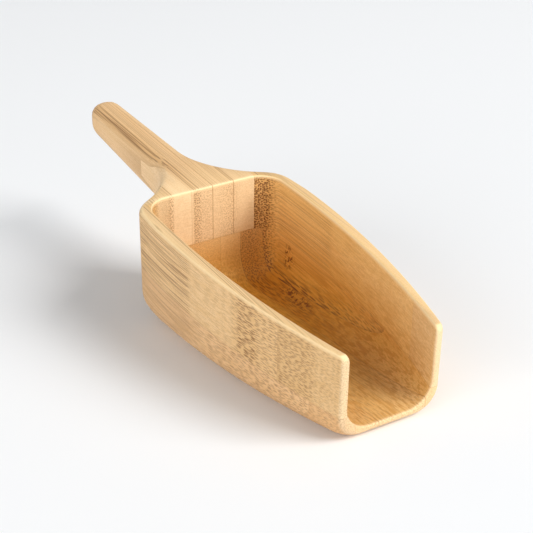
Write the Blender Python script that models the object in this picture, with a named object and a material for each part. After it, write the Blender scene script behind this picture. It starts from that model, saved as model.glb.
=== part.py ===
"""A bamboo scoop carved from a glued blank of upright staves, in metres with +Z up.

The blank lies level in its own frame: X across, Y from the mouth to the handle's end, Z down from its
flat top, which is both the rim and the top of the handle. An empty tilts it until the sloping sole is level.
"""

import math

import bmesh
import bpy
from mathutils import Matrix, Vector

# Outline from above: side, rear corner and shoulder are arcs that run into each other
MOUTH_WIDTH = 0.0330
BODY_WIDTH = 0.0558
WIDEST_Y = 0.0855
CORNER_Y = 0.0992
CORNER_RADIUS = 0.0098
SHOULDER_RADIUS = 0.0365

# Handle
LENGTH = 0.1947
NECK_WIDTH = 0.0129
HANDLE_END_WIDTH = 0.0112
NECK_DEPTH = 0.0173
HANDLE_END_DEPTH = 0.0136
HANDLE_DOME = 0.0085
HANDLE_NOSE_DEPTH = 0.0098
HANDLE_TOP_RADIUS = 0.0048

# Side view: a short rounded toe, the sloping sole, then heel and throat sweep up to the handle
MOUTH_DEPTH = 0.0291
SOLE_SLOPE = 0.121
TOE_RISE = 0.0019
TOE_LENGTH = 0.0060
HEEL_START_Y = 0.0888
HEEL_RADIUS = 0.0400
THROAT_RADIUS = 0.0165
MOUTH_SIDE_RADIUS = 0.0074
HEEL_SIDE_RADIUS = 0.0105

# Bowl
MOUTH_WALL = 0.00235
WALL = 0.0040
FLOOR = 0.0036
MOUTH_FLOOR_RADIUS = 0.0080
HEEL_FLOOR_RADIUS = 0.0100
REAR_WALL_Y = 0.1063
REAR_CORNER_RADIUS = 0.0084
RIM_RADIUS = 0.0008
LIP_RADIUS = 0.0022

# Staves of the two glued rows
STAVE_THICKNESS = 0.0079
UPPER_ROW_DEPTH = 0.0200
UPPER_SEAM_X = 0.00155
UPPER_SEAMS = range(-3, 3)
LOWER_SEAM_X = 0.0043
LOWER_SEAMS = range(-3, 3)
GLUE_LINE = 0.0003

# Facets, and how far the cutting bodies run past the wood
SIDE_STEPS = 10
CORNER_STEPS = 7
HANDLE_STEPS = 4
DOME_STEPS = 6
UNDER_EDGE_STEPS = 7
TOP_EDGE_STEPS = 3
CLEAR = 0.0040

FOOT_Y = 0.0450
TILT = math.atan(SOLE_SLOPE)
HALF_BODY = BODY_WIDTH / 2
HALF_NECK = NECK_WIDTH / 2
DOME_Y = LENGTH - HANDLE_DOME
BAMBOO = (0.62, 0.38, 0.17, 1.0)


def side_height(radius, distance):
    """How far a circle stands off from its centre line at a distance along that line."""
    return math.sqrt(max(radius**2 - distance**2, 0.0))


def rise(radius, distance):
    """How far an arc has left its tangent at a distance along that tangent."""
    return radius - side_height(radius, min(max(distance, 0.0), radius))


def arc_radius(length, height):
    """Radius of an arc that leaves its tangent by a height over a length."""
    return (length**2 + height**2) / (2 * height)


def share(value, start, end):
    return min(max((value - start) / (end - start), 0.0), 1.0)


def mix(first, second, amount):
    return first + (second - first) * amount


def quarter(steps):
    """Angles of a quarter turn."""
    return [math.pi / 2 * step / steps for step in range(steps + 1)]


def between(start, end, steps):
    """Evenly spaced values after the start, up to the end."""
    return [mix(start, end, step / steps) for step in range(1, steps + 1)]


def fillet_centre(circle, radius, line_point, along, normal, fillet):
    """Centre of an arc that touches a circle from outside and a line on the side its normal points to."""
    start = line_point + normal * fillet - circle
    run = start.dot(along)
    reach = radius + fillet
    return circle + start + along * (math.sqrt(run**2 - start.length_squared + reach**2) - run)


class Outline:
    """Half the outline of the scoop from above."""

    def __init__(self):
        self.side_radius = arc_radius(WIDEST_Y, HALF_BODY - MOUTH_WIDTH / 2)
        self.side = Vector((HALF_BODY - self.side_radius, WIDEST_Y))
        inner_spread = HALF_BODY - WALL - (MOUTH_WIDTH / 2 - MOUTH_WALL)
        self.inner_radius = arc_radius(WIDEST_Y, inner_spread)
        self.inner = Vector((HALF_BODY - WALL - self.inner_radius, WIDEST_Y))
        reach = self.side_radius - CORNER_RADIUS
        self.corner = Vector((self.side.x + side_height(reach, CORNER_Y - WIDEST_Y), CORNER_Y))
        self.shoulder = fillet_centre(
            self.corner, CORNER_RADIUS, Vector((HALF_NECK, 0)), Vector((0, 1)), Vector((1, 0)), SHOULDER_RADIUS
        )
        self.corner_start = self.side.y + self.side_radius * (self.corner - self.side).normalized().y
        self.corner_end = self.corner.y + CORNER_RADIUS * (self.shoulder - self.corner).normalized().y
        self.neck = self.shoulder.y

    def half_width(self, y):
        if y <= self.corner_start:
            width = self.side.x + side_height(self.side_radius, y - self.side.y)
        elif y <= self.corner_end:
            width = self.corner.x + side_height(CORNER_RADIUS, y - self.corner.y)
        elif y <= self.neck:
            width = self.shoulder.x - side_height(SHOULDER_RADIUS, y - self.shoulder.y)
        else:
            width = mix(NECK_WIDTH, HANDLE_END_WIDTH, share(y, self.neck, LENGTH)) / 2
        return width

    def inner_half_width(self, y, inset=0.0):
        return self.inner.x + side_height(self.inner_radius - inset, y - self.inner.y)

    def stations(self):
        """Places along the outline, closer together where it bends."""
        corner = [self.corner.y - CORNER_RADIUS * math.cos(angle) for angle in quarter(CORNER_STEPS)]
        corner += [self.corner.y + CORNER_RADIUS * math.sin(angle) for angle in quarter(CORNER_STEPS)]
        shoulder = [mix(self.corner_end, self.neck, math.sin(angle)) for angle in quarter(CORNER_STEPS)]
        return (
            between(0.0, self.corner_start, SIDE_STEPS)
            + [y for y in corner if self.corner_start < y < self.corner_end]
            + shoulder
            + between(self.neck, DOME_Y, HANDLE_STEPS)
        )


class Underside:
    """The side view's lower line."""

    def __init__(self, neck_y):
        down = Vector((1, -SOLE_SLOPE)).normalized()
        start = Vector((HEEL_START_Y, sole_z(HEEL_START_Y)))
        self.heel = start + Vector((-down.y, down.x)) * HEEL_RADIUS
        self.neck = Vector((neck_y, -NECK_DEPTH))
        self.handle = (Vector((LENGTH, -HANDLE_END_DEPTH)) - self.neck).normalized()
        below = Vector((self.handle.y, -self.handle.x))
        self.throat = fillet_centre(self.heel, HEEL_RADIUS, self.neck, self.handle, below, THROAT_RADIUS)
        self.heel_end = self.heel.x + HEEL_RADIUS * (self.throat - self.heel).normalized().x
        self.throat_end = self.throat.x - THROAT_RADIUS * below.x

    def z(self, y):
        if y <= HEEL_START_Y:
            height = sole_z(y) + rise(arc_radius(TOE_LENGTH, TOE_RISE), TOE_LENGTH - y)
        elif y <= self.heel_end:
            height = self.heel.y - side_height(HEEL_RADIUS, y - self.heel.x)
        elif y <= self.throat_end:
            height = self.throat.y + side_height(THROAT_RADIUS, y - self.throat.x)
        else:
            height = self.neck.y + (y - self.neck.x) * self.handle.y / self.handle.x
        return height

    def stations(self):
        return (
            between(0.0, TOE_LENGTH, TOP_EDGE_STEPS)
            + between(HEEL_START_Y, self.heel_end, CORNER_STEPS)
            + [mix(self.heel_end, self.throat_end, math.sin(angle)) for angle in quarter(CORNER_STEPS)]
        )


def sole_z(y):
    return -MOUTH_DEPTH - SOLE_SLOPE * y


def side_radius(y):
    """Rounding between sole and side wall, growing from the mouth to the heel."""
    return mix(MOUTH_SIDE_RADIUS, HEEL_SIDE_RADIUS, share(y, 0.0, WIDEST_Y))


def section(y, half, top, bottom, under, over):
    """One closed cross-section: an upright box with rounded lower and upper edges."""
    under = min(under, half, (top - bottom) / 2)
    over = min(over, half, (top - bottom) / 2)
    right = [
        Vector((half - under + under * math.sin(angle), y, bottom + under - under * math.cos(angle)))
        for angle in quarter(UNDER_EDGE_STEPS)
    ]
    right += [
        Vector((half - over + over * math.cos(angle), y, top - over + over * math.sin(angle)))
        for angle in quarter(TOP_EDGE_STEPS)
    ]
    return right + [Vector((-point.x, point.y, point.z)) for point in reversed(right)]


def outer_sections(outline, underside):
    """Cross-sections of the whole carved form, from the mouth to the handle's rounded end."""
    ease = [RIM_RADIUS * (1 - math.cos(angle)) for angle in quarter(TOP_EDGE_STEPS)]
    lip = [LIP_RADIUS * (1 - math.cos(angle)) for angle in quarter(TOP_EDGE_STEPS)]
    dome = [DOME_Y + HANDLE_DOME * math.sin(angle) for angle in quarter(DOME_STEPS)]
    places = sorted(set(ease + lip + outline.stations() + underside.stations() + dome))
    sections = []
    for before, y in zip([-CLEAR] + places, places):
        if y - before < RIM_RADIUS / 10:
            continue
        eased = rise(RIM_RADIUS, RIM_RADIUS - y)
        lipped = rise(LIP_RADIUS, LIP_RADIUS - y)
        shrink = side_height(1.0, share(y, DOME_Y, LENGTH))
        top = -max(eased, lipped)
        bottom = underside.z(y) + eased
        neck_share = share(y, HEEL_START_Y, outline.neck)
        sections.append(
            section(
                y,
                (outline.half_width(y) - eased) * shrink,
                mix(-HANDLE_NOSE_DEPTH, top, shrink),
                mix(-HANDLE_NOSE_DEPTH, bottom, shrink),
                mix(side_radius(y), HALF_NECK, neck_share) * shrink,
                mix(RIM_RADIUS, HANDLE_TOP_RADIUS, neck_share) * shrink,
            )
        )
    return sections


def bowl_outline(outline, share_in):
    """Right half of the bowl's outline at one depth, from in front of the mouth to the rear wall.

    share_in is how far in the outline lies, as a share of the rounding between wall and floor.
    """
    inset = floor_radius(REAR_WALL_Y) * share_in
    radius = max(REAR_CORNER_RADIUS - inset, RIM_RADIUS)
    rear = REAR_WALL_Y - inset
    reach = outline.inner_radius - inset - radius
    centre = Vector((outline.inner.x + side_height(reach, rear - radius - outline.inner.y), rear - radius))
    direction = (centre - outline.inner).normalized()
    start = outline.inner.y + (outline.inner_radius - inset) * direction.y
    first = math.atan2(direction.y, direction.x)
    points = [
        Vector((outline.inner_half_width(y, floor_radius(y) * share_in), y))
        for y in [-CLEAR] + between(-CLEAR, start, SIDE_STEPS)
    ]
    for angle in between(first, math.pi / 2, CORNER_STEPS):
        points.append(centre + Vector((math.cos(angle), math.sin(angle))) * radius)
    return points


def floor_radius(y):
    """Rounding between the bowl's wall and floor, growing from the mouth to the heel."""
    return mix(MOUTH_FLOOR_RADIUS, HEEL_FLOOR_RADIUS, share(y, 0.0, WIDEST_Y))


def bowl_levels(outline):
    """Outlines of the bowl from above the rim, down its wall and round onto the floor."""
    rim = bowl_outline(outline, 0.0)
    levels = [[(point, CLEAR) for point in flared(rim, RIM_RADIUS)]]
    for angle in reversed(quarter(TOP_EDGE_STEPS)):
        flare = RIM_RADIUS * (1 - math.cos(angle))
        height = -RIM_RADIUS * (1 - math.sin(angle))
        levels.append([(point, height) for point in flared(rim, flare)])
    for angle in quarter(UNDER_EDGE_STEPS):
        level = bowl_outline(outline, 1 - math.cos(angle))
        levels.append([(point, floor_z(point.y, 1 - math.sin(angle))) for point in level])
    return levels


def flared(points, flare):
    """An outline moved outwards by a small distance, square to itself."""
    moved = []
    for number, point in enumerate(points):
        run = points[min(number + 1, len(points) - 1)] - points[max(number - 1, 0)]
        moved.append(point + Vector((run.y, -run.x)).normalized() * flare)
    return moved


def floor_z(y, share_up):
    """Height of the bowl's surface, at a share of the rounding above the floor."""
    return sole_z(y) + FLOOR + floor_radius(y) * share_up


def closed_object(name, vertices, faces):
    mesh = bpy.data.meshes.new(name)
    mesh.from_pydata(vertices, [], faces)
    shape = bmesh.new()
    shape.from_mesh(mesh)
    bmesh.ops.remove_doubles(shape, verts=shape.verts, dist=RIM_RADIUS / 100)
    bmesh.ops.recalc_face_normals(shape, faces=shape.faces)
    shape.to_mesh(mesh)
    shape.free()
    piece = bpy.data.objects.new(name, mesh)
    bpy.context.collection.objects.link(piece)
    return piece


def loft(name, sections):
    """A closed body skinned over rings of equal point count."""
    count = len(sections[0])
    faces = [list(range(count)), [len(sections) * count - 1 - point for point in range(count)]]
    for ring in range(len(sections) - 1):
        for point in range(count):
            following = (point + 1) % count
            near, far = ring * count, (ring + 1) * count
            faces.append([near + point, near + following, far + following, far + point])
    return closed_object(name, [point for ring in sections for point in ring], faces)


def bowl(outline):
    """The space carved out of the blank, run out through the mouth and above the rim."""
    rings = []
    for level in bowl_levels(outline):
        right = [Vector((point.x, point.y, height)) for point, height in level]
        rings.append(right + [Vector((-point.x, point.y, point.z)) for point in reversed(right)])
    count = len(rings[0])
    last = (len(rings) - 1) * count
    faces = []
    for near in range(0, last, count):
        for point in range(count - 1):
            faces.append([near + point, near + point + 1, near + count + point + 1, near + count + point])
    for point in range(count // 2 - 1):
        for level in (0, last):
            across = level + count - 1 - point
            faces.append([level + point, level + point + 1, across - 1, across])
    left = [ring * count + count - 1 for ring in range(len(rings))]
    faces.append([ring * count for ring in range(len(rings))] + left[::-1])
    return closed_object("bowl_cutter", [point for ring in rings for point in ring], faces)


def hide(piece):
    piece.hide_render = True
    piece.display_type = "WIRE"


def box(name, low, high):
    corners = [Vector((x, y, z)) for x in (low.x, high.x) for y in (low.y, high.y) for z in (low.z, high.z)]
    faces = [[0, 1, 3, 2], [4, 6, 7, 5], [0, 4, 5, 1], [2, 3, 7, 6], [0, 2, 6, 4], [1, 5, 7, 3]]
    return closed_object(name, corners, faces)


def boolean(piece, other, operation):
    cut = piece.modifiers.new(operation.lower(), "BOOLEAN")
    cut.object = other
    cut.operation = operation
    cut.solver = "EXACT"


def strips(seam_x, seams):
    """Left and right side of each strip in a row, the outer ones running to the side of the blank."""
    cuts = [seam_x + number * STAVE_THICKNESS for number in seams]
    edge = HALF_BODY + CLEAR
    lefts = [-edge] + [cut + GLUE_LINE / 2 for cut in cuts]
    rights = [cut - GLUE_LINE / 2 for cut in cuts] + [edge]
    return zip(lefts, rights)


def upper_runs(outline, left, right):
    """Which lengths of an upper strip are left standing once the bowl is carved."""
    far = max(abs(left), abs(right))
    near = max(left, -right, 0.0)
    if far > HALF_BODY:
        return [("", -CLEAR, LENGTH + CLEAR)]
    place = "_handle" if near < HALF_NECK / 2 else "_shoulder"
    runs = [(place, WIDEST_Y, LENGTH + CLEAR)]
    if far > outline.inner_half_width(0.0):
        runs.append(("_wall", -CLEAR, WIDEST_Y - GLUE_LINE))
    return runs


def bamboo(name):
    material = bpy.data.materials.new(name)
    material.use_nodes = True
    surface = material.node_tree.nodes["Principled BSDF"]
    surface.inputs["Base Color"].default_value = BAMBOO
    surface.inputs["Roughness"].default_value = 0.5
    return material


def stave(name, low, high, form, material, blank):
    piece = box(name, low, high)
    boolean(piece, form, "INTERSECT")
    piece.data.materials.append(material)
    piece.parent = blank


def tilted_blank():
    """The frame of the level blank, turned so that the sole lies flat on the table."""
    blank = bpy.data.objects.new("blank", None)
    bpy.context.collection.objects.link(blank)
    blank.rotation_euler.x = TILT
    blank.location = Matrix.Rotation(TILT, 3, "X") @ Vector((0, -FOOT_Y, -sole_z(FOOT_Y)))
    return blank


def main():
    for old in list(bpy.data.objects):
        bpy.data.objects.remove(old)
    outline = Outline()
    underside = Underside(outline.neck)
    blank = tilted_blank()
    form = loft("carved_form", outer_sections(outline, underside))
    hollow = bowl(outline)
    boolean(form, hollow, "DIFFERENCE")
    for cutter in (form, hollow):
        hide(cutter)
        cutter.parent = blank
    upper_wood = bamboo("upper_bamboo")
    lower_wood = bamboo("lower_bamboo")
    seam_z = -UPPER_ROW_DEPTH
    for number, (left, right) in enumerate(strips(UPPER_SEAM_X, UPPER_SEAMS), 1):
        for place, start, end in upper_runs(outline, left, right):
            low = Vector((left, start, seam_z + GLUE_LINE / 2))
            high = Vector((right, end, CLEAR))
            stave(f"upper_stave_{number}{place}", low, high, form, upper_wood, blank)
    for number, (left, right) in enumerate(strips(LOWER_SEAM_X, LOWER_SEAMS), 1):
        low = Vector((left, -CLEAR, sole_z(LENGTH)))
        high = Vector((right, LENGTH + CLEAR, seam_z - GLUE_LINE / 2))
        stave(f"lower_stave_{number}", low, high, form, lower_wood, blank)


main()
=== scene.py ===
"""Bamboo scoop: the carved staves and their finish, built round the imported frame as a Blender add-on."""

import math
from collections import namedtuple

import bmesh
import bpy
from bpy.props import FloatProperty, FloatVectorProperty, PointerProperty
from mathutils import Matrix, Vector


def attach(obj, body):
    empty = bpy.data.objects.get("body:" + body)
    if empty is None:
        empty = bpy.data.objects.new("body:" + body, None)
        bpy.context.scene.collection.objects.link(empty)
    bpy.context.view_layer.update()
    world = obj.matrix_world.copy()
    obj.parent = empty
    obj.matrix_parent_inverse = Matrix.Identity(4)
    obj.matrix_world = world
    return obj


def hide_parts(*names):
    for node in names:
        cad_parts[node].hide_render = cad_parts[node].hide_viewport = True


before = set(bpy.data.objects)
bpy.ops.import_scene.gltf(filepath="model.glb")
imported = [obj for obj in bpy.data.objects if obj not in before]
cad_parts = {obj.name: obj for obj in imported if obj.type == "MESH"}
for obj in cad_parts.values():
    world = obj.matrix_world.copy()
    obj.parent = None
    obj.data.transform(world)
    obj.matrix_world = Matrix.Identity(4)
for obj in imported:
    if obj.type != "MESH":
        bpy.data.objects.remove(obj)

bl_info = {
    "name": "Bamboo Scoop",
    "version": (1, 0, 0),
    "blender": (4, 5, 0),
    "location": "3D View > Sidebar > Scoop",
    "description": "Carves a laminated bamboo scoop from its staves and sets it on a pale studio floor",
    "category": "Object",
}

MM = 0.001

# How finely the form is drawn: sections along a side and round a bend, points on a lower corner and an edge.
SIDE_STEPS = 28
BEND_STEPS = 16
EDGE_STEPS = 12
RIM_STEPS = 4
# Sections closer together than this share of the rim's rounding are left out.
CLOSEST_SECTIONS = 0.05
# The last section of the handle's end stops just short of the tip, where it would have no width.
DOME_END = 0.998
# The rounding of a corner takes at most this share of half a section's width or height.
ROUND_LIMIT = 0.98
# How far a cut runs out past the form.
RUN_OUT = 4 * MM
# Points closer than this are in one place.
SAME_PLACE = 0.001 * MM
# The height of a level face's normal differs from 1 by less than this.
NEARLY = 1e-5

# The carved edges get this share of the rim's rounding, once points closer than the next share are merged.
SANDED_SHARE = 0.9
MERGED_SHARE = 0.2
# In degrees: faces that differ by less than the first angle are one flat face, edges over the second are
# sharp, and edges under the third are shaded smooth.
FLAT_ANGLE = 0.5
SHARP_ANGLE = 45
SMOOTH_ANGLE = 30

# A row has seven strips and six seams. The seams are numbered from the one at 0, which strip 5 lies right of.
SEAM_NUMBERS = range(-3, 3)
RIGHT_OF_SEAM = 5

# Bamboo, in millimetres of the level blank. Bundles are 0.3 to 0.5 mm wide in the stem's wall. They fade out
# from the first to the second share of their radius, and are thicker by the last value at a crowding of 1.
BUNDLE_RADIUS = 0.28
BUNDLE_CORE = 0.5
BUNDLE_EDGE = 1.4
CROWDED_GROWTH = 0.12
# How dark the bundles are, and the pith between crowded ones, and what deepens the pith's tone.
BUNDLE_DARKNESS = 0.95
PACKED_DARKNESS = 0.7
DEEPER = (0.74, 0.62, 0.44, 1)
# How far the fibres wander, over what length, and how far one strip's pattern lies from the next one's.
WANDER = 0.9
WANDER_LENGTH = 60
STRIP_SHIFT = 23
# The glue lines' width, and how dark they are between the two rows.
GLUE_WIDTH = 0.35
ROW_GLUE = 0.35
# The size of the flecks of painted shade in the bowl's corners, and the depth of the relief that sanding
# leaves on the fibres.
FLECK_WIDTH = 1.4
RELIEF_DEPTH = 0.06
# Sanding pores are finer than a tenth of a millimetre; they are drawn at half a millimetre so that they show.
SANDING_MARK = 0.5
# The stretch across, along and down that holds about so many lines of the stem's skin.
LINE_STRETCH = (12, 90, 1.1)
LINES_IN_STRETCH = 3
# Streaks along the fibres: their width, their run and how many finer sizes are mixed in.
FINE_STREAKS = (0.42, 34, 2)
BROAD_STREAKS = (2.6, 90, 1)
# The last streaks lie only where the painted shade lies in the bowl, and they deepen it.
BOWL_STREAKS = (0.7, 70, 1)

# Fades of the finish, among them the painted shade in the bowl and the painted light on the rim: where each
# starts and ends, and how much there is of it at its start and its end. Those along the blank count from the
# mouth in millimetres, and some get their amounts from a strip's look.
MOUTH_CROWDING = (45, 85)
LINES_BEGIN = (66, 69, 0, 1)
# Painted shade in the bowl, weaker near the mouth.
SHADE_FROM_MOUTH = (5, 60, 0.3, 1)
BARE_END = (0.3, 1.2, 0.35, 0)
RIM_FROM_MOUTH = (104, 125, 1, 0)
# Up from the rim: painted light on the rim's top, and a painted highlight on its edges.
RIM_TOP = (-1.4, -0.2, 0, 0.26)
RIM_EDGE = (-0.2, -0.02, 3.4, 1)
# Up from the sole.
ABOVE_SOLE = (2, 2.8, 0, 1)
# The painted shade, from where it starts to where it is full.
SHADE_ABOVE_SOLE = (25, 6)
# Back from the face of the bowl's rear wall, and out from the face of its side wall.
# Painted shade high on the walls: more on the side walls than on the rear wall.
SHADE_ON_REAR = (-3, -0.5, 0.36, 0.05)
BARE_REAR = (-2, -0.3)
BARE_REAR_SHARE = {"upper": 0.3, "lower": 0.1}
BEHIND_REAR = (0.3, 1.3, 1, 0)
BEYOND_WALL = (0.3, 1.2, 1, 0)
# By how far a face looks up, how crowded the bundles are, how far off a mark's centre is, and by patterns.
FACING_UP = (-0.35, -0.18, 0, 1)
SPARSE_PITH = (0.8, 1, 1, 0)
MARK_SIDES = (0.5, 1, 1, 0)
BUNDLE_OWN = (0, 1, 0.5, 1)
LINE_TONE = (0.56, 0.6)
FINE_TONE = (0.4, 0.7, 0, 0.38)
BROAD_TONE = (0.35, 0.7, 0, 0.24)
GRIT_TONE = (0.44, 0.58, 0, 0.42)
BOWL_STREAK_TONE = (0.51, 0.56, 0, 0.95)
BROKEN_FLECKS = (0.5, 0.6, 0, 1)
SATIN = (0.3, 0.7, 0.5, 0.66)

# The studio floor lies a hair under the sole, so that the two never share a plane.
FLOOR_SIZE = 6
FLOOR_GAP = 0.02 * MM
ROOM_STRENGTH = 0.33
# The photograph's view, worked out from the lines of its rim and strips, in metres and degrees of the blank.
CAMERA_LENS = 87.31
CAMERA_SHIFT = (-0.00367, 0.0101)
CAMERA_PLACE = (-0.1789, -0.2320, 0.1913)
CAMERA_TURN = (59.68, -0.729, -30.48)

# Each strip from the left: its tone; how crowded its bundles stand, as places from its left side, 0, to its
# right side, 1, and amounts there; the pitch of its bundles; how dark the glue line on its left side is; how
# many times as crowded it is at the mouth; how strong its long lines are; and its marks of painted shade in
# the bowl's corners, broken into flecks, each with its centre and reach.
StripLook = namedtuple(
    "StripLook", "tone crowding pitch glue at_mouth lines marks", defaults=(0.6, 0.15, 1, 0.08, ())
)
LOOKS = {
    "upper": [
        StripLook(
            "EFCC9B",
            ((0, 0.4), (0.32, 0.4), (0.35, 0.3), (0.58, 0.35), (0.66, 0.9), (0.78, 0.9), (0.82, 0.65)),
            pitch=0.45, lines=0.6,
        ),
        StripLook("E8C593", ((0, 0.7), (0.33, 0.7), (0.42, 0.4), (0.8, 0.4), (1, 0.6)), pitch=0.45),
        StripLook("F8D6A8", ((0, 0.8), (0.14, 0.7), (0.22, 0.08), (1, 0.08)), glue=0.3),
        StripLook(
            "F1CC9C", ((0, 0.05), (0.07, 0.1), (0.16, 0.85), (0.38, 0.75), (0.5, 0.45), (1, 0.4)), glue=0.3
        ),
        StripLook("F0CB99", ((0, 0.2), (0.5, 0.4), (1, 0.6)), pitch=0.62, glue=1),
        StripLook("ECC796", ((0, 0.4), (0.4, 0.15), (1, 0.15)), pitch=0.62, glue=1),
        StripLook(
            "F6CF96", ((0, 1.35), (0.5, 1.3), (0.74, 0.4), (0.84, 0.25), (0.92, 0.6), (1, 0.6)),
            glue=0.12, at_mouth=0.1, lines=0.35,
        ),
    ],
    "lower": [
        StripLook("F0CA9C", ((0, 0.28), (1, 0.28)), pitch=0.45, at_mouth=2.3, lines=0.35),
        StripLook("E8BF8E", ((0, 0.45), (0.5, 0.6), (1, 0.4)), pitch=0.45),
        StripLook("ECC086", ((0, 0.2), (1, 0.4)), glue=0.4),
        StripLook("EDC388", ((0, 0.4), (1, 0.2)), glue=0.3),
        StripLook("EFC892", ((0, 0.15), (1, 0.3)), glue=0.4),
        StripLook(
            "EDC080", ((0, 0.72), (0.5, 0.8), (1, 0.5)),
            glue=0.6, at_mouth=0.2, marks=(((18.5, 77, -34.5), (3, 16, 3)),),
        ),
        StripLook(
            "F8D09A", ((0, 1.3), (0.25, 0.7), (0.45, 0.3), (0.6, 0.5), (1, 0.5)),
            glue=0.4, at_mouth=0.5, marks=(((23.8, 93, -27), (2, 4, 6)),),
        ),
    ],
}


def length(name, description, value):
    """A size that a user may change, in metres."""
    return FloatProperty(name=name, description=description, default=value, unit="LENGTH", precision=5)


def colour(name, description, value):
    """A colour that a user may change, written as an sRGB hex value."""
    return FloatVectorProperty(
        name=name, description=description, default=linear(value), subtype="COLOR", size=4, min=0, max=1
    )


def linear(hex_colour):
    """An sRGB hex colour as linear values with full alpha."""
    values = [int(hex_colour[start : start + 2], 16) / 255 for start in (0, 2, 4)]
    return tuple(v / 12.92 if v <= 0.04045 else ((v + 0.055) / 1.055) ** 2.4 for v in values) + (1.0,)


class ScoopSizes(bpy.types.PropertyGroup):
    """Sizes of the carved form, in the frame of the level blank."""

    mouth_width: length("Mouth width", "Width over both walls at the mouth", 33.0 * MM)
    body_width: length("Body width", "Width at the widest place", 55.8 * MM)
    widest_y: length("Widest place", "Distance from the mouth to the widest place", 85.5 * MM)
    corner_y: length("Corner place", "Distance from the mouth to the rear corners' centres", 99.2 * MM)
    corner_radius: length("Corner radius", "Rounding of the rear corners from above", 9.8 * MM)
    shoulder_radius: length("Shoulder radius", "Hollow curve from body to handle from above", 36.5 * MM)
    full_length: length("Length", "From the mouth to the handle's end", 194.7 * MM)
    neck_width: length("Neck width", "Width of the handle where it leaves the body", 12.9 * MM)
    end_width: length("Handle end width", "Width of the handle at its end", 11.2 * MM)
    neck_depth: length("Neck depth", "Depth of the handle where it leaves the body", 17.3 * MM)
    end_depth: length("Handle end depth", "Depth of the handle at its end", 13.6 * MM)
    dome: length("Handle dome", "Length of the handle's rounded end", 8.5 * MM)
    nose_depth: length("Handle nose", "Depth of the rounded end's tip below the handle's top", 9.8 * MM)
    handle_top_radius: length("Handle edge", "Rounding of the handle's upper edges", 4.8 * MM)
    mouth_depth: length("Mouth depth", "Depth from rim to sole at the mouth", 29.1 * MM)
    toe_rise: length("Toe rise", "How far the sole rises at the mouth", 1.9 * MM)
    toe_length: length("Toe length", "Length of the sole's rise at the mouth", 6.0 * MM)
    heel_start: length("Heel start", "Distance from the mouth to where the sole turns up", 88.8 * MM)
    heel_radius: length("Heel radius", "Curve of the heel from the side", 40.0 * MM)
    throat_radius: length("Throat radius", "Curve from heel to handle from the side", 16.5 * MM)
    mouth_side_radius: length("Mouth side radius", "Rounding between sole and wall at the mouth", 7.4 * MM)
    heel_side_radius: length("Heel side radius", "Rounding between sole and wall at the heel", 10.5 * MM)
    mouth_wall: length("Mouth wall", "Thickness of the side walls at the mouth", 2.35 * MM)
    wall: length("Wall", "Thickness of the side walls at the widest place", 4.0 * MM)
    floor: length("Floor", "Thickness of the floor", 3.6 * MM)
    mouth_floor_radius: length("Mouth floor radius", "Rounding between floor and wall at the mouth", 8.0 * MM)
    heel_floor_radius: length("Heel floor radius", "Rounding between floor and wall at the heel", 10.0 * MM)
    rear_wall: length("Rear wall", "Distance from the mouth to the bowl's rear wall", 106.3 * MM)
    rear_corner_radius: length("Bowl corner", "Rounding of the bowl's rear corners", 8.4 * MM)
    rim_radius: length("Rim edge", "Rounding of the rim's edges", 0.8 * MM)
    lip_radius: length("Lip edge", "Rounding of the rim where it meets the mouth", 2.2 * MM)
    stave_thickness: length("Stave thickness", "Thickness of one bamboo strip", 7.9 * MM)
    upper_row: length("Upper row", "Depth of the upper row of strips", 20.0 * MM)
    upper_seam: length("Upper seam", "Place of the upper row's middle seam", 1.55 * MM)
    lower_seam: length("Lower seam", "Place of the lower row's middle seam", 4.3 * MM)
    foot_y: length("Foot place", "Distance from the mouth to the origin on the sole", 45.0 * MM)
    sole_slope: FloatProperty(name="Sole slope", description="Fall of the sole from the rim", default=0.121)


class ScoopColours(bpy.types.PropertyGroup):
    """Colours of the bamboo and of the studio."""

    dark_bamboo: colour("Dark bamboo", "Fibre bundles", "764A22")
    # Painted shade with the warm cast of bounced light, low inside the bowl.
    bowl_shade: colour("Bowl shade", "Painted shade and warm bounced light, deepest low in the bowl", "FCEB90")
    end_grain: colour("End grain", "Bare pith on the sawn ends at the mouth", "F8E6C2")
    # Painted shade in the bowl's corners, broken into flecks.
    corner_shade: colour("Corner shade", "Painted shade in the bowl's corners, broken into flecks", "84501E")
    # Painted light on the rim's top and a painted highlight on its edges.
    rim_highlight: colour("Rim highlight", "Painted light on the rim's top and a painted highlight on its edges", "FBDCA8")
    glue: colour("Glue line", "Glue between two strips", "9A6A38")
    room_light: colour("Room light", "The even light of the studio's walls", "F5FAFF")
    backdrop: colour("Backdrop", "What shows behind the floor", "EBEDEF")
    floor: colour("Floor", "Studio floor", "F4F4F4")


def sizes():
    """The sizes that are set now."""
    return bpy.context.scene.scoop_sizes


def colours():
    """The colours that are set now."""
    return bpy.context.scene.scoop_colours


def side_height(radius, distance):
    """How far a circle stands off from its centre line at a distance along that line."""
    return math.sqrt(max(radius**2 - distance**2, 0.0))


def rise(radius, distance):
    """How far an arc has left its tangent at a distance along that tangent."""
    return radius - side_height(radius, min(max(distance, 0.0), radius))


def arc_radius(run, height):
    """Radius of an arc that leaves its tangent by a height over a run."""
    return (run**2 + height**2) / (2 * height)


def share(value, start, end):
    """How far a value has come from start to end, from 0 to 1."""
    return min(max((value - start) / (end - start), 0.0), 1.0)


def mix(first, second, amount):
    """A value between two others."""
    return first + (second - first) * amount


def quarter(steps):
    """Angles of a quarter turn in even steps."""
    return [math.pi / 2 * step / steps for step in range(steps + 1)]


def between(start, end, steps):
    """Even steps from start to end, without the start."""
    return [mix(start, end, step / steps) for step in range(1, steps + 1)]


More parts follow.
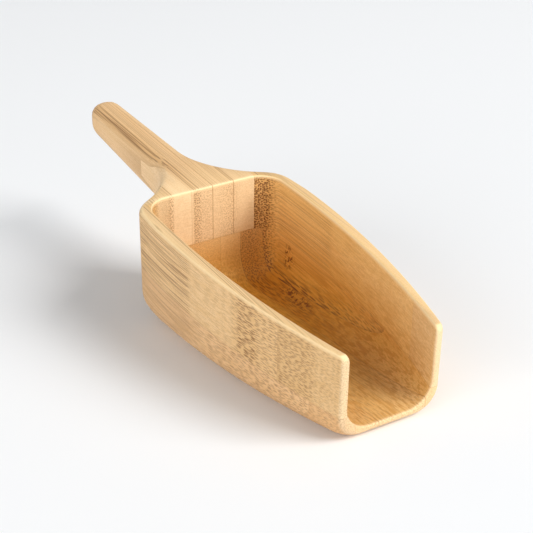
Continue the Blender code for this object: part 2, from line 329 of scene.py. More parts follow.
def spaced(places, gap):
    """The places in order, without those closer than a gap to the one before."""
    kept = []
    for place in sorted(set(places)):
        if not kept or place - kept[-1] >= gap:
            kept.append(place)
    return kept


def resting_tilt(s):
    """Angle by which the level blank turns about X until the scoop rests on its sole."""
    return math.atan(s.sole_slope)


def foot_place(s):
    """The place on the level blank's sole that becomes the origin."""
    return Vector((0, s.foot_y, -s.mouth_depth - s.sole_slope * s.foot_y))


def fillet_centre(circle, radius, line_point, along, normal, fillet):
    """Centre of an arc that touches a circle from outside and a line on the side its normal points to."""
    start = line_point + normal * fillet - circle
    run = start.dot(along)
    reach = radius + fillet
    return circle + start + along * (math.sqrt(run**2 - start.length_squared + reach**2) - run)


class Outline:
    """Half the outline of the scoop from above."""

    def __init__(self, s):
        self.s = s
        half = s.body_width / 2
        self.side_radius = arc_radius(s.widest_y, half - s.mouth_width / 2)
        self.side = Vector((half - self.side_radius, s.widest_y))
        self.inner_radius = arc_radius(s.widest_y, half - s.wall - (s.mouth_width / 2 - s.mouth_wall))
        self.inner = Vector((half - s.wall - self.inner_radius, s.widest_y))
        reach = self.side_radius - s.corner_radius
        self.corner = Vector((self.side.x + side_height(reach, s.corner_y - s.widest_y), s.corner_y))
        neck_side = Vector((s.neck_width / 2, 0))
        self.shoulder = fillet_centre(
            self.corner, s.corner_radius, neck_side, Vector((0, 1)), Vector((1, 0)), s.shoulder_radius
        )
        self.corner_start = self.side.y + self.side_radius * (self.corner - self.side).normalized().y
        self.corner_end = self.corner.y + s.corner_radius * (self.shoulder - self.corner).normalized().y
        self.neck = self.shoulder.y

    def half_width(self, y):
        """Half the outer width at a distance from the mouth."""
        s = self.s
        if y <= self.corner_start:
            return self.side.x + side_height(self.side_radius, y - self.side.y)
        if y <= self.corner_end:
            return self.corner.x + side_height(s.corner_radius, y - self.corner.y)
        if y <= self.neck:
            return self.shoulder.x - side_height(s.shoulder_radius, y - self.shoulder.y)
        return mix(s.neck_width, s.end_width, share(y, self.neck, s.full_length)) / 2

    def inner_half_width(self, y):
        """Half the width between the side walls, ahead of the bowl's rear corners."""
        return self.inner.x + side_height(self.inner_radius, y - self.inner.y)

    def stations(self):
        """Distances from the mouth at which the outline needs a section."""
        s = self.s
        corner = [self.corner.y - s.corner_radius * math.cos(angle) for angle in quarter(BEND_STEPS)]
        corner += [self.corner.y + s.corner_radius * math.sin(angle) for angle in quarter(BEND_STEPS)]
        shoulder = [mix(self.corner_end, self.neck, math.sin(angle)) for angle in quarter(BEND_STEPS)]
        return (
            between(0.0, self.corner_start, SIDE_STEPS)
            + [y for y in corner if self.corner_start < y < self.corner_end]
            + shoulder
            + between(self.neck, s.full_length - s.dome, BEND_STEPS)
        )


class Underside:
    """The lower line of the scoop from the side."""

    def __init__(self, s, neck_y):
        self.s = s
        down = Vector((1, -s.sole_slope)).normalized()
        start = Vector((s.heel_start, self.sole(s.heel_start)))
        self.heel = start + Vector((-down.y, down.x)) * s.heel_radius
        self.neck = Vector((neck_y, -s.neck_depth))
        self.handle = (Vector((s.full_length, -s.end_depth)) - self.neck).normalized()
        below = Vector((self.handle.y, -self.handle.x))
        self.throat = fillet_centre(self.heel, s.heel_radius, self.neck, self.handle, below, s.throat_radius)
        self.heel_end = self.heel.x + s.heel_radius * (self.throat - self.heel).normalized().x
        self.throat_end = self.throat.x - s.throat_radius * below.x

    def sole(self, y):
        """Height of the sole's plane below the rim."""
        return -self.s.mouth_depth - self.s.sole_slope * y

    def z(self, y):
        """Height of the lower line, over toe, sole, heel, throat and handle."""
        if y <= self.s.heel_start:
            toe = arc_radius(self.s.toe_length, self.s.toe_rise)
            return self.sole(y) + rise(toe, self.s.toe_length - y)
        if y <= self.heel_end:
            return self.heel.y - side_height(self.s.heel_radius, y - self.heel.x)
        if y <= self.throat_end:
            return self.throat.y + side_height(self.s.throat_radius, y - self.throat.x)
        return self.neck.y + (y - self.neck.x) * self.handle.y / self.handle.x

    def stations(self):
        """Distances from the mouth at which the lower line needs a section."""
        angles = quarter(BEND_STEPS)
        return (
            between(0.0, self.s.toe_length, BEND_STEPS)
            + between(self.s.heel_start, self.heel_end, BEND_STEPS)
            + [mix(self.heel_end, self.throat_end, math.sin(angle)) for angle in angles]
        )


def side_radius(s, y):
    """Rounding between sole and side wall, growing from the mouth to the heel."""
    return mix(s.mouth_side_radius, s.heel_side_radius, share(y, 0.0, s.widest_y))


def floor_radius(s, y):
    """Rounding between the bowl's wall and floor, growing from the mouth to the heel."""
    return mix(s.mouth_floor_radius, s.heel_floor_radius, share(y, 0.0, s.widest_y))


def deselect_all():
    """Leaves edit mode and deselects every object."""
    if bpy.context.object and bpy.context.object.mode != "OBJECT":
        bpy.ops.object.mode_set(mode="OBJECT")
    bpy.ops.object.select_all(action="DESELECT")


def select_only(piece):
    """Makes a piece the active object and the only one selected."""
    deselect_all()
    bpy.context.view_layer.objects.active = piece
    piece.select_set(True)


def start_piece(name):
    """A new empty mesh object, open in edit mode."""
    deselect_all()
    bpy.ops.mesh.primitive_plane_add(size=MM)
    piece = bpy.context.object
    piece.name = piece.data.name = name
    bpy.ops.object.mode_set(mode="EDIT")
    bpy.ops.mesh.delete(type="VERT")
    bpy.ops.mesh.select_mode(type="VERT")
    return piece


def draw_section(y, half, top, bottom, under, over):
    """An upright plane across the blank with its lower and upper corners rounded."""
    most = min(half, (top - bottom) / 2) * ROUND_LIMIT
    under, over = min(under, most), min(over, most)
    centre = (0, y, (top + bottom) / 2)
    bpy.ops.mesh.select_all(action="DESELECT")
    bpy.ops.mesh.primitive_plane_add(size=1, location=centre, rotation=(math.pi / 2, 0, 0))
    bpy.ops.transform.resize(value=(half * 2, 1, top - bottom), center_override=centre)
    round_corners(y, bottom, under, EDGE_STEPS)
    if over > 0:
        round_corners(y, top, over, RIM_STEPS)


def round_corners(y, height, radius, steps):
    """Rounds the corners at one height of the section at y."""
    bpy.ops.mesh.select_all(action="DESELECT")
    shape = bmesh.from_edit_mesh(bpy.context.object.data)
    for vertex in shape.verts:
        vertex.select = max(abs(vertex.co.y - y), abs(vertex.co.z - height)) < SAME_PLACE
    bpy.ops.mesh.bevel(offset=radius, segments=steps, affect="VERTICES", clamp_overlap=False)


def skin_sections(piece):
    """Joins all drawn sections into one closed skin."""
    shape = bmesh.from_edit_mesh(piece.data)
    sections = sorted(shape.faces, key=lambda face: face.calc_center_median().y)
    bmesh.ops.delete(shape, geom=sections[1:-1], context="FACES_ONLY")
    bmesh.update_edit_mesh(piece.data)
    bpy.ops.mesh.select_mode(type="EDGE")
    bpy.ops.mesh.select_all(action="SELECT")
    bpy.ops.mesh.bridge_edge_loops()
    bpy.ops.mesh.select_all(action="SELECT")
    bpy.ops.mesh.normals_make_consistent(inside=False)
    bpy.ops.object.mode_set(mode="OBJECT")
    return piece


def draw_outer_form(s, outline, underside):
    """The scoop's outside as one skin, from the mouth to the handle's end."""
    piece = start_piece("carved_form")
    dome_y = s.full_length - s.dome
    ease = [s.rim_radius * (1 - math.cos(angle)) for angle in quarter(RIM_STEPS)]
    lip = [s.lip_radius * (1 - math.cos(angle)) for angle in quarter(RIM_STEPS)]
    dome = [dome_y + s.dome * math.sin(angle) * DOME_END for angle in quarter(BEND_STEPS)]
    places = ease + lip + outline.stations() + underside.stations() + dome
    for y in spaced(places, s.rim_radius * CLOSEST_SECTIONS):
        eased = rise(s.rim_radius, s.rim_radius - y)
        lipped = rise(s.lip_radius, s.lip_radius - y)
        shrink = side_height(1.0, share(y, dome_y, s.full_length))
        neck_share = share(y, s.heel_start, outline.neck)
        draw_section(
            y,
            (outline.half_width(y) - eased) * shrink,
            mix(-s.nose_depth, -max(eased, lipped), shrink),
            mix(-s.nose_depth, underside.z(y) + eased, shrink),
            mix(side_radius(s, y), s.neck_width / 2, neck_share) * shrink,
            mix(s.rim_radius, s.handle_top_radius, neck_share) * shrink,
        )
    return skin_sections(piece)


def draw_bowl(s, outline, underside):
    """The hollow of the bowl, run out through the mouth and above the rim."""
    piece = start_piece("bowl_hollow")
    radius = s.rear_corner_radius
    corner_y = s.rear_wall - radius
    reach = outline.inner_radius - radius
    corner_x = outline.inner.x + side_height(reach, corner_y - outline.inner.y)
    floor_start = s.rear_wall - s.heel_floor_radius
    curve = [corner_y + radius * math.sin(angle) for angle in quarter(BEND_STEPS)]
    curve += [floor_start + s.heel_floor_radius * math.sin(angle) for angle in quarter(BEND_STEPS)]
    straight = [y for y in outline.stations() if y < floor_start - s.rim_radius]
    for y in spaced([-RUN_OUT] + straight + curve, s.rim_radius * CLOSEST_SECTIONS):
        half = outline.inner_half_width(y) if y < corner_y else corner_x + side_height(radius, y - corner_y)
        bottom = underside.sole(y) + s.floor + rise(s.heel_floor_radius, y - floor_start)
        draw_section(y, half, RUN_OUT, bottom, floor_radius(s, y), 0)
    return skin_sections(piece)


def apply_boolean(piece, other, operation):
    """Cuts a piece with another one, or keeps what both share, and applies that."""
    modifier = piece.modifiers.new(operation.lower(), "BOOLEAN")
    modifier.object = other
    modifier.operation = operation
    modifier.solver = "EXACT"
    select_only(piece)
    bpy.ops.object.modifier_apply(modifier=modifier.name)


def ease_sharp_edges(piece, width):
    """Rounds every edge that the carving left sharp, as sanding does."""
    select_only(piece)
    bpy.ops.object.mode_set(mode="EDIT")
    bpy.ops.mesh.select_mode(type="VERT")
    bpy.ops.mesh.select_all(action="SELECT")
    bpy.ops.mesh.remove_doubles(threshold=width * MERGED_SHARE)
    bpy.ops.mesh.select_mode(type="FACE")
    shape = bmesh.from_edit_mesh(piece.data)
    for face in shape.faces:
        face.select_set(face.normal.z > 1 - NEARLY)
    bmesh.update_edit_mesh(piece.data)
    bpy.ops.mesh.dissolve_limited(angle_limit=math.radians(FLAT_ANGLE))
    bpy.ops.mesh.select_all(action="DESELECT")
    bpy.ops.mesh.select_mode(type="EDGE")
    bpy.ops.mesh.edges_select_sharp(sharpness=math.radians(SHARP_ANGLE))
    bpy.ops.mesh.bevel(
        offset=width, segments=RIM_STEPS, affect="EDGES", clamp_overlap=False, loop_slide=False
    )
    bpy.ops.object.mode_set(mode="OBJECT")


def copy_of(original, name):
    """A copy of a piece with a mesh of its own."""
    piece = original.copy()
    piece.data = original.data.copy()
    piece.name = piece.data.name = name
    bpy.context.collection.objects.link(piece)
    return piece


def saw_box(piece, low, high):
    """Saws a piece down to what lies between two corners; a side at None is left as it is."""
    bpy.context.view_layer.update()
    near, far = Vector(piece.bound_box[0]), Vector(piece.bound_box[6])
    for axis in range(3):
        near[axis] = near[axis] - RUN_OUT if low[axis] is None else low[axis]
        far[axis] = far[axis] + RUN_OUT if high[axis] is None else high[axis]
    deselect_all()
    bpy.ops.mesh.primitive_cube_add(size=1, location=(near + far) / 2)
    raw_strip = bpy.context.object
    bpy.ops.transform.resize(value=far - near, center_override=(near + far) / 2)
    bpy.ops.object.transform_apply(location=True, rotation=True, scale=True)
    apply_boolean(piece, raw_strip, "INTERSECT")
    bpy.data.objects.remove(raw_strip)


def set_on_table(piece, s):
    """Tilts a piece from the level blank to the scoop at rest on its sole."""
    piece.rotation_euler = (resting_tilt(s), 0, 0)
    piece.location = -(Matrix.Rotation(resting_tilt(s), 3, "X") @ foot_place(s))
    select_only(piece)
    bpy.ops.object.transform_apply(location=True, rotation=True, scale=True)
    bpy.ops.object.shade_smooth_by_angle(angle=math.radians(SMOOTH_ANGLE))


def strips(seam_x, thickness):
    """Left and right side of each strip in a row; an outer strip has no outer side."""
    cuts = [seam_x + number * thickness for number in SEAM_NUMBERS]
    return list(zip([None] + cuts, cuts + [None]))


def finish_stave(form, node, low, high):
    """Saws one strip out of the form, sets it on the table and puts it in the place of its plain solid."""
    piece = copy_of(form, "bamboo_" + node)
    saw_box(piece, low, high)
    set_on_table(piece, sizes())
    piece.data.materials.clear()
    piece.data.materials.append(bamboo(node))
    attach(piece, "root")
    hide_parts(node)


class SCOOP_OT_carve(bpy.types.Operator):
    """Draw the scoop's cross-sections, skin them into a form, hollow the bowl and ease the edges"""

    bl_idname = "scoop.carve"
    bl_label = "Carve the scoop"

    def execute(self, context):
        s = sizes()
        outline = Outline(s)
        underside = Underside(s, outline.neck)
        form = draw_outer_form(s, outline, underside)
        hollow = draw_bowl(s, outline, underside)
        apply_boolean(form, hollow, "DIFFERENCE")
        bpy.data.objects.remove(hollow)
        ease_sharp_edges(form, s.rim_radius * SANDED_SHARE)
        return {"FINISHED"}


class SCOOP_OT_upper_staves(bpy.types.Operator):
    """Saw the upper row of strips out of the carved form"""

    bl_idname = "scoop.upper_staves"
    bl_label = "Upper staves"

    def execute(self, context):
        s = sizes()
        form = bpy.data.objects["carved_form"]
        sides = strips(s.upper_seam, s.stave_thickness)
        for number, (left, right) in enumerate(sides, 1):
            for place in ("", "_wall", "_shoulder", "_handle"):
                node = f"upper_stave_{number}{place}"
                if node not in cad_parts:
                    continue
                near = s.widest_y if place in ("_shoulder", "_handle") else None
                far = s.widest_y if place == "_wall" else None
                finish_stave(form, node, (left, near, -s.upper_row), (right, far, None))
        return {"FINISHED"}


class SCOOP_OT_lower_staves(bpy.types.Operator):
    """Saw the lower row of strips out of the carved form"""

    bl_idname = "scoop.lower_staves"
    bl_label = "Lower staves"

    def execute(self, context):
        s = sizes()
        form = bpy.data.objects["carved_form"]
        sides = strips(s.lower_seam, s.stave_thickness)
        for number, (left, right) in enumerate(sides, 1):
            low, high = (left, None, None), (right, None, -s.upper_row)
            finish_stave(form, f"lower_stave_{number}", low, high)
        bpy.data.objects.remove(form)
        return {"FINISHED"}


def add_node(tree, kind, settings=None, **links):
    """Adds a shader node with its settings, and its inputs as values or links."""
    node = tree.nodes.new(kind)
    for name, value in (settings or {}).items():
        setattr(node, name, value)
    for name, value in links.items():
        socket = node.inputs[int(name[1:])] if name[1:].isdigit() else node.inputs[name.replace("_", " ")]
        if isinstance(value, bpy.types.NodeSocket):
            tree.links.new(value, socket)
        else:
            socket.default_value = value
    return node


def fade(start, end, first, last, at=0):
    """A fade as node inputs: its ends, counted from a place, and the amounts at its ends."""
    return {"From_Min": at + start, "From_Max": at + end, "To_Min": first, "To_Max": last}


def grain_place(tree, s, shift):
    """Millimetres in the level blank, whose fibres run along Y, and the same with the fibres' slow wander."""
    place = add_node(tree, "ShaderNodeTexCoord").outputs["Object"]
    blank = add_node(
        tree, "ShaderNodeMapping", Vector=place,
        Scale=[1 / MM] * 3, Rotation=(-resting_tilt(s), 0, 0), Location=foot_place(s) / MM,
    ).outputs[0]
    slow = add_node(tree, "ShaderNodeTexNoise", Vector=blank, Scale=1 / WANDER_LENGTH, Detail=1)
    centred = add_node(
        tree, "ShaderNodeVectorMath", {"operation": "SUBTRACT"}, i0=slow.outputs["Color"], i1=(0.5, 0.5, 0.5)
    )
    wander = add_node(
        tree, "ShaderNodeVectorMath", {"operation": "MULTIPLY_ADD"},
        i0=centred.outputs[0], i1=(WANDER, 0, WANDER), i2=shift,
    )
    fibres = add_node(tree, "ShaderNodeVectorMath", i0=blank, i1=wander.outputs[0]).outputs[0]
    return blank, fibres


def fibre_bundles(tree, fibres, crowd, pitch):
    """Dots where the strip is cut across and lines where it is cut along; crowded bundles are thicker."""
    place = add_node(tree, "ShaderNodeSeparateXYZ", Vector=fibres)
    section = add_node(tree, "ShaderNodeCombineXYZ", X=place.outputs[0], Y=place.outputs[2])
    cells = add_node(
        tree, "ShaderNodeTexVoronoi", {"voronoi_dimensions": "2D"},
        Vector=section.outputs[0], Scale=1 / pitch, Randomness=0.9,
    )
    nearer = add_node(
        tree, "ShaderNodeMath", {"operation": "MULTIPLY_ADD"},
        i0=crowd, i1=-CROWDED_GROWTH, i2=cells.outputs["Distance"],
    )
    dots = add_node(
        tree, "ShaderNodeMapRange", {"interpolation_type": "SMOOTHSTEP"}, Value=nearer.outputs[0],
        **fade(BUNDLE_RADIUS * BUNDLE_CORE, BUNDLE_RADIUS * BUNDLE_EDGE, 1, 0),
    )
    depth = add_node(tree, "ShaderNodeSeparateColor", Color=cells.outputs["Color"])
    own = add_node(tree, "ShaderNodeMapRange", Value=depth.outputs["Red"], **fade(*BUNDLE_OWN))
    return add_node(
        tree, "ShaderNodeMath", {"operation": "MULTIPLY"}, i0=dots.outputs[0], i1=own.outputs[0]
    ).outputs[0]


def streaks(tree, fibres, width, run, detail):
    """Long streaks along the fibres, from 0 to 1."""
    along = add_node(
        tree, "ShaderNodeVectorMath", {"operation": "MULTIPLY"}, i0=fibres, i1=(1 / width, 1 / run, 1 / width)
    )
    return add_node(
        tree, "ShaderNodeTexNoise", Vector=along.outputs[0], Scale=1, Detail=detail, Roughness=0.6
    ).outputs[0]


def crowding(tree, across, along_y, look, left, right):
    """How densely the bundles stand across a strip: crowded towards the stem's skin, sparse inside."""
    ramp = add_node(tree, "ShaderNodeMapRange", Value=across, **fade(left / MM, right / MM, 0, 1))
    curve = add_node(tree, "ShaderNodeValToRGB", Fac=ramp.outputs[0])
    stops = curve.color_ramp.elements
    while len(stops) < len(look.crowding):
        stops.new(0.5)
    for stop, (place, amount) in zip(stops, look.crowding):
        stop.position = place
        stop.color = (amount, amount, amount, 1)
    kept = add_node(tree, "ShaderNodeMapRange", Value=along_y, **fade(*MOUTH_CROWDING, look.at_mouth, 1))
    return add_node(
        tree, "ShaderNodeMath", {"operation": "MULTIPLY"}, i0=curve.outputs["Color"], i1=kept.outputs[0]
    ).outputs[0]


def skin_lines(tree, fibres, along_y, look):
    """Long fine lines where the carving runs flat along the fibres, from behind the bowl's middle onwards."""
    scale = [1 / size for size in LINE_STRETCH]
    flat = add_node(tree, "ShaderNodeVectorMath", {"operation": "MULTIPLY"}, i0=fibres, i1=scale)
    layers = add_node(tree, "ShaderNodeTexNoise", Vector=flat.outputs[0], Scale=LINES_IN_STRETCH, Detail=0)
    line = add_node(tree, "ShaderNodeMapRange", Value=layers.outputs[0], **fade(*LINE_TONE, 0, look.lines))
    start = add_node(tree, "ShaderNodeMapRange", Value=along_y, **fade(*LINES_BEGIN))
    return add_node(
        tree, "ShaderNodeMath", {"operation": "MULTIPLY"}, i0=line.outputs[0], i1=start.outputs[0]
    ).outputs[0]


def glue_line(tree, across, height, look, left, row_top):
    """A thin dark line on the strip's left side, and a fainter one on top where two rows meet."""
    side = add_node(
        tree, "ShaderNodeMapRange", Value=across, **fade(left / MM, left / MM + GLUE_WIDTH, look.glue, 0)
    )
    top = add_node(
        tree, "ShaderNodeMapRange", Value=height, **fade(row_top - GLUE_WIDTH, row_top, 0, ROW_GLUE)
    )
    return add_node(
        tree, "ShaderNodeMath", {"operation": "MAXIMUM"}, i0=side.outputs[0], i1=top.outputs[0]
    ).outputs[0]


def in_bowl(tree, s, blank, along_y, height):
    """Two amounts that are 0 outside the bowl: one is 1 all over its inside, the other is painted shade, full
    near the sole and weaker up the walls.
    """
    outline = Outline(s)
    sole, rear, wall = -s.mouth_depth / MM, s.rear_wall / MM, outline.inner_radius / MM
    above = add_node(
        tree, "ShaderNodeMath", {"operation": "MULTIPLY_ADD"}, i0=along_y, i1=s.sole_slope, i2=height
    ).outputs[0]
    # Painted shade: full near the sole and fading up the walls to a share that is smaller on the rear wall
    # than on the side walls.
    on_walls = add_node(
        tree, "ShaderNodeMapRange", Value=along_y, **fade(*SHADE_ON_REAR, at=rear)
    ).outputs[0]
    low = add_node(tree, "ShaderNodeMapRange", Value=above, **fade(*SHADE_ABOVE_SOLE, on_walls, 1, at=sole))
    flat = add_node(tree, "ShaderNodeVectorMath", {"operation": "MULTIPLY"}, i0=blank, i1=(1, 1, 0))
    one_side = add_node(tree, "ShaderNodeVectorMath", {"operation": "ABSOLUTE"}, i0=flat.outputs[0])
    centre = (outline.inner.x / MM, outline.inner.y / MM, 0)
    reach = add_node(
        tree, "ShaderNodeVectorMath", {"operation": "DISTANCE"}, i0=one_side.outputs[0], i1=centre
    )
    # The rounding under the walls and the heel look down, and nothing inside the bowl does.
    normal = add_node(tree, "ShaderNodeTexCoord").outputs["Normal"]
    facing = add_node(tree, "ShaderNodeSeparateXYZ", Vector=normal)
    inside = add_node(tree, "ShaderNodeMapRange", Value=above, **fade(*ABOVE_SOLE, at=sole)).outputs[0]
    for value, bounds in (
        (facing.outputs[2], fade(*FACING_UP)),
        (along_y, fade(*BEHIND_REAR, at=rear)),
        (reach.outputs["Value"], fade(*BEYOND_WALL, at=wall)),
    ):
        within = add_node(tree, "ShaderNodeMapRange", Value=value, **bounds)
        inside = add_node(
            tree, "ShaderNodeMath", {"operation": "MULTIPLY"}, i0=inside, i1=within.outputs[0]
        ).outputs[0]
    # The painted shade, kept inside the bowl.
    low_shade = add_node(tree, "ShaderNodeMath", {"operation": "MULTIPLY"}, i0=inside, i1=low.outputs[0])
    return inside, low_shade.outputs[0]


def rim_highlight_share(tree, along_y, height):
    """How much painted light lies on the rim's top, with a stronger painted highlight on its edges; it fades
    out on the handle.
    """
    share_so_far = add_node(tree, "ShaderNodeMapRange", Value=height, **fade(*RIM_TOP)).outputs[0]
    for value, bounds in ((height, RIM_EDGE), (along_y, RIM_FROM_MOUTH)):
        part = add_node(tree, "ShaderNodeMapRange", Value=value, **fade(*bounds))
        share_so_far = add_node(
            tree, "ShaderNodeMath", {"operation": "MULTIPLY"}, i0=share_so_far, i1=part.outputs[0]
        ).outputs[0]
    return share_so_far


def bare_share(tree, s, row, along_y, crowd, inside, low_shade):
    """How bare the pith is: on the sawn ends at the mouth, and between the bundles of the rear wall."""
    end = add_node(tree, "ShaderNodeMapRange", Value=along_y, **fade(*BARE_END))
    rear = add_node(
        tree, "ShaderNodeMapRange", Value=along_y,
        **fade(*BARE_REAR, 0, BARE_REAR_SHARE[row], at=s.rear_wall / MM),
    )
    # Bare pith shows only where the painted shade does not lie.
    outside_shade = add_node(tree, "ShaderNodeMath", {"operation": "SUBTRACT"}, i0=inside, i1=low_shade)
    sparse = add_node(tree, "ShaderNodeMapRange", Value=crowd, **fade(*SPARSE_PITH))
    pith = add_node(
        tree, "ShaderNodeMath", {"operation": "MULTIPLY"}, i0=outside_shade.outputs[0], i1=sparse.outputs[0]
    )
    return add_node(
        tree, "ShaderNodeMath", {"operation": "MULTIPLY_ADD"},
        i0=rear.outputs[0], i1=pith.outputs[0], i2=end.outputs[0],
    ).outputs[0]


def corner_shade_flecks(tree, blank, marks):
    """Painted shade in the bowl's corners, broken into brown flecks."""
    flecks = add_node(
        tree, "ShaderNodeTexNoise", Vector=blank, Scale=1 / FLECK_WIDTH, Detail=2, Roughness=0.6
    )
    broken = add_node(tree, "ShaderNodeMapRange", Value=flecks.outputs[0], **fade(*BROKEN_FLECKS))
    total = 0.0
    for centre, reach in marks:
        apart = add_node(tree, "ShaderNodeVectorMath", {"operation": "SUBTRACT"}, i0=blank, i1=centre)
        scaled = add_node(
            tree, "ShaderNodeVectorMath", {"operation": "DIVIDE"}, i0=apart.outputs[0], i1=reach
        )
        far = add_node(tree, "ShaderNodeVectorMath", {"operation": "LENGTH"}, i0=scaled.outputs[0])
        near = add_node(tree, "ShaderNodeMapRange", Value=far.outputs["Value"], **fade(*MARK_SIDES))
        total = add_node(
            tree, "ShaderNodeMath", {"operation": "MULTIPLY_ADD", "use_clamp": True},
            i0=near.outputs[0], i1=broken.outputs[0], i2=total,
        ).outputs[0]
    return total


def pith_colour(tree, look, blank, fibres, crowd, fine, low_shade):
    """A strip's own tone, deeper in streaks, sanding marks and packed bundles, and in streaks that deepen the
    painted shade low in the bowl.
    """
    broad = streaks(tree, fibres, *BROAD_STREAKS)
    bowl_streak_pattern = streaks(tree, fibres, *BOWL_STREAKS)
    grit = add_node(
        tree, "ShaderNodeTexNoise", Vector=blank, Scale=1 / SANDING_MARK, Detail=2, Roughness=0.7
    ).outputs[0]
    patterns = ((fine, FINE_TONE), (broad, BROAD_TONE), (grit, GRIT_TONE), (bowl_streak_pattern, BOWL_STREAK_TONE))
    fine_share, broad_share, grit_share, bowl_streak_share = [
        add_node(tree, "ShaderNodeMapRange", Value=pattern, **fade(*tones)).outputs[0]
        for pattern, tones in patterns
    ]
    packed_share = add_node(
        tree, "ShaderNodeMath", {"operation": "MULTIPLY"}, i0=crowd, i1=PACKED_DARKNESS
    ).outputs[0]
    # Streaks that deepen the painted shade low in the bowl.
    bowl_streaks_in_shade = add_node(
        tree, "ShaderNodeMath", {"operation": "MULTIPLY"}, i0=bowl_streak_share, i1=low_shade
    ).outputs[0]
    colour_so_far = linear(look.tone)
    deep = [value * amount for value, amount in zip(colour_so_far, DEEPER)]
    for amount in (fine_share, broad_share, grit_share, packed_share, bowl_streaks_in_shade):
        colour_so_far = add_node(
            tree, "ShaderNodeMix", {"data_type": "RGBA"}, i0=amount, i6=colour_so_far, i7=deep
        ).outputs[2]
    return colour_so_far


def bamboo(node):
    """Strip of bamboo stem, sawn on edge, glued, sanded fine and oiled.

    The eye sees pale pith with dark fibre bundles in it, as dots across the grain and as lines along it,
    a tone of its own on each strip, and a thin satin sheen that the bundles break up. Painted shade darkens
    the inside of the bowl and its corners, and painted light and a painted highlight lie on the rim.
    """
    s, c = sizes(), colours()
    row, number = node.split("_stave_")
    number = int(number.split("_")[0])
    look = LOOKS[row][number - 1]
    upper = row == "upper"
    left = (s.upper_seam if upper else s.lower_seam) + (number - RIGHT_OF_SEAM) * s.stave_thickness
    row_top = (RUN_OUT if upper else -s.upper_row) / MM
    material = bpy.data.materials.new("oiled bamboo " + node.replace("_", " "))
    material.use_nodes = True
    tree = material.node_tree
    shift = [STRIP_SHIFT * step for step in (number, number, number if upper else -number)]
    blank, fibres = grain_place(tree, s, shift)
    across, along_y, height = add_node(tree, "ShaderNodeSeparateXYZ", Vector=blank).outputs

    crowd = crowding(tree, across, along_y, look, left, left + s.stave_thickness)
    bundles = fibre_bundles(tree, fibres, crowd, look.pitch)
    dark = add_node(tree, "ShaderNodeMath", {"operation": "MULTIPLY"}, i0=bundles, i1=crowd).outputs[0]
    dark = add_node(
        tree, "ShaderNodeMath", {"operation": "MAXIMUM"}, i0=dark, i1=skin_lines(tree, fibres, along_y, look)
    ).outputs[0]
    dark_share = add_node(
        tree, "ShaderNodeMath", {"operation": "MULTIPLY", "use_clamp": True}, i0=dark, i1=BUNDLE_DARKNESS
    ).outputs[0]
    fine = streaks(tree, fibres, *FINE_STREAKS)

    inside, low_shade = in_bowl(tree, s, blank, along_y, height)
    # Painted shade with the warm cast of bounced light, multiplied into the colour: deepest low in the bowl
    # and towards its rear.
    from_mouth = add_node(tree, "ShaderNodeMapRange", Value=along_y, **fade(*SHADE_FROM_MOUTH))
    painted_shade_share = add_node(
        tree, "ShaderNodeMath", {"operation": "MULTIPLY"}, i0=low_shade, i1=from_mouth.outputs[0]
    )
    colour_so_far = add_node(
        tree, "ShaderNodeMix", {"data_type": "RGBA", "blend_type": "MULTIPLY"}, i0=painted_shade_share.outputs[0],
        i6=pith_colour(tree, look, blank, fibres, crowd, fine, low_shade), i7=c.bowl_shade,
    ).outputs[2]
    coats = [
        (bare_share(tree, s, row, along_y, crowd, inside, low_shade), c.end_grain),
        (dark_share, c.dark_bamboo),
        # Painted light on the rim's top and a painted highlight on its edges.
        (rim_highlight_share(tree, along_y, height), c.rim_highlight),
        (glue_line(tree, across, height, look, left, row_top), c.glue),
    ]
    # Flecks of painted shade in the bowl's corners.
    if look.marks:
        coats.append((corner_shade_flecks(tree, blank, look.marks), c.corner_shade))
    for amount, coat in coats:
        colour_so_far = add_node(
            tree, "ShaderNodeMix", {"data_type": "RGBA"}, i0=amount, i6=colour_so_far, i7=coat
        ).outputs[2]

    surface = tree.nodes["Principled BSDF"]
    tree.links.new(colour_so_far, surface.inputs["Base Color"])
    surface.inputs["Specular IOR Level"].default_value = 0.4
    rough = add_node(tree, "ShaderNodeMapRange", Value=fine, **fade(*SATIN))
    tree.links.new(rough.outputs[0], surface.inputs["Roughness"])
    relief = add_node(tree, "ShaderNodeMath", {"operation": "ADD"}, i0=dark, i1=fine)
    bump = add_node(
        tree, "ShaderNodeBump", Strength=0.25, Distance=RELIEF_DEPTH * MM, Height=relief.outputs[0]
    )
    tree.links.new(bump.outputs[0], surface.inputs["Normal"])
    return material


def area_light(name, energy, size, bearing, elevation, distance):
    """A soft square lamp aimed at the scoop; its bearing is counted from +X towards +Y, in degrees."""
    lamp = bpy.data.lights.new(name, "AREA")
    lamp.energy = energy
    lamp.size = size
    light = bpy.data.objects.new(name, lamp)
    bpy.context.collection.objects.link(light)
    turn = Matrix.Rotation(math.radians(bearing), 3, "Z") @ Matrix.Rotation(math.radians(-elevation), 3, "Y")
    light.location = turn @ Vector((distance, 0, 0))
    light.rotation_euler = light.location.to_track_quat("Z", "Y").to_euler()


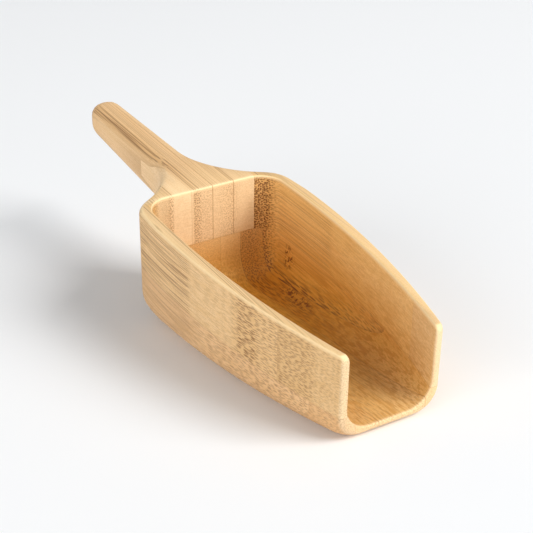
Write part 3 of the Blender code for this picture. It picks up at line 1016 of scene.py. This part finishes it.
def light_backdrop(world):
    """An even soft light that the camera and gloss see as a pale backdrop."""
    world.use_nodes = True
    tree = world.node_tree
    paths = add_node(tree, "ShaderNodeLightPath").outputs
    seen = add_node(
        tree, "ShaderNodeMath", {"operation": "MAXIMUM"}, i0=paths["Is Camera Ray"], i1=paths["Is Glossy Ray"]
    )
    seen = add_node(
        tree, "ShaderNodeMath", {"operation": "MAXIMUM"}, i0=seen.outputs[0], i1=paths["Is Transmission Ray"]
    )
    light = add_node(
        tree, "ShaderNodeBackground", Color=colours().room_light, Strength=ROOM_STRENGTH
    ).outputs[0]
    backdrop = add_node(tree, "ShaderNodeBackground", Color=colours().backdrop, Strength=1).outputs[0]
    shown = add_node(tree, "ShaderNodeMixShader", i0=seen.outputs[0], i1=light, i2=backdrop)
    tree.links.new(shown.outputs[0], tree.nodes["World Output"].inputs["Surface"])


class SCOOP_OT_stage(bpy.types.Operator):
    """Set the pale floor, the studio light and the camera"""

    bl_idname = "scoop.stage"
    bl_label = "Studio"

    def execute(self, context):
        deselect_all()
        bpy.ops.mesh.primitive_plane_add(size=FLOOR_SIZE, location=(0, 0, -FLOOR_GAP))
        floor = context.object
        floor.name = "studio_floor"
        # Board with matt white paint: it takes the scoop's soft shadow and shows no reflection.
        material = bpy.data.materials.new("matt white studio floor")
        material.use_nodes = True
        surface = material.node_tree.nodes["Principled BSDF"]
        surface.inputs["Base Color"].default_value = colours().floor
        surface.inputs["Roughness"].default_value = 0.9
        floor.data.materials.append(material)
        area_light("key_light", energy=268, size=2.7, bearing=305, elevation=36, distance=5.0)
        area_light("side_fill", energy=185, size=4.2, bearing=205, elevation=14, distance=5.0)
        world = bpy.data.worlds.new("studio")
        context.scene.world = world
        light_backdrop(world)
        context.scene.view_settings.view_transform = "Standard"
        place_camera(sizes())
        return {"FINISHED"}


def place_camera(s):
    """The camera, placed from the frame of the level blank and tilted with it."""
    camera_data = bpy.data.cameras.new("camera")
    camera = bpy.data.objects.new("camera", camera_data)
    bpy.context.collection.objects.link(camera)
    camera_data.lens = CAMERA_LENS
    camera_data.shift_x, camera_data.shift_y = CAMERA_SHIFT
    camera_data.clip_start = 0.01
    turn = Matrix.Rotation(resting_tilt(s), 4, "X")
    seat = Matrix.Translation(-(turn.to_3x3() @ foot_place(s))) @ turn
    about_x, about_y, about_z = [
        Matrix.Rotation(math.radians(angle), 4, axis) for angle, axis in zip(CAMERA_TURN, "XYZ")
    ]
    camera.matrix_world = seat @ Matrix.Translation(CAMERA_PLACE) @ (about_z @ about_y @ about_x)
    bpy.context.scene.camera = camera


class SCOOP_PT_panel(bpy.types.Panel):
    """The scoop's operators, sizes and colours"""

    bl_idname = "SCOOP_PT_panel"
    bl_label = "Bamboo Scoop"
    bl_space_type = "VIEW_3D"
    bl_region_type = "UI"
    bl_category = "Scoop"

    def draw(self, context):
        layout = self.layout
        for kind in OPERATORS:
            layout.operator(kind.bl_idname)
        for group in (context.scene.scoop_sizes, context.scene.scoop_colours):
            for name in group.__annotations__:
                layout.prop(group, name)


OPERATORS = (SCOOP_OT_carve, SCOOP_OT_upper_staves, SCOOP_OT_lower_staves, SCOOP_OT_stage)
CLASSES = (ScoopSizes, ScoopColours) + OPERATORS + (SCOOP_PT_panel,)


def register():
    """Makes the sizes, colours, operators and panel known to Blender."""
    for kind in CLASSES:
        bpy.utils.register_class(kind)
    bpy.types.Scene.scoop_sizes = PointerProperty(type=ScoopSizes)
    bpy.types.Scene.scoop_colours = PointerProperty(type=ScoopColours)


def unregister():
    """Takes away what register made known."""
    del bpy.types.Scene.scoop_colours
    del bpy.types.Scene.scoop_sizes
    for kind in reversed(CLASSES):
        bpy.utils.unregister_class(kind)


def main():
    """Builds the scoop and its stage."""
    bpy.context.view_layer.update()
    register()
    bpy.ops.scoop.carve()
    bpy.ops.scoop.upper_staves()
    bpy.ops.scoop.lower_staves()
    bpy.ops.scoop.stage()


if __name__ == "__main__":
    main()
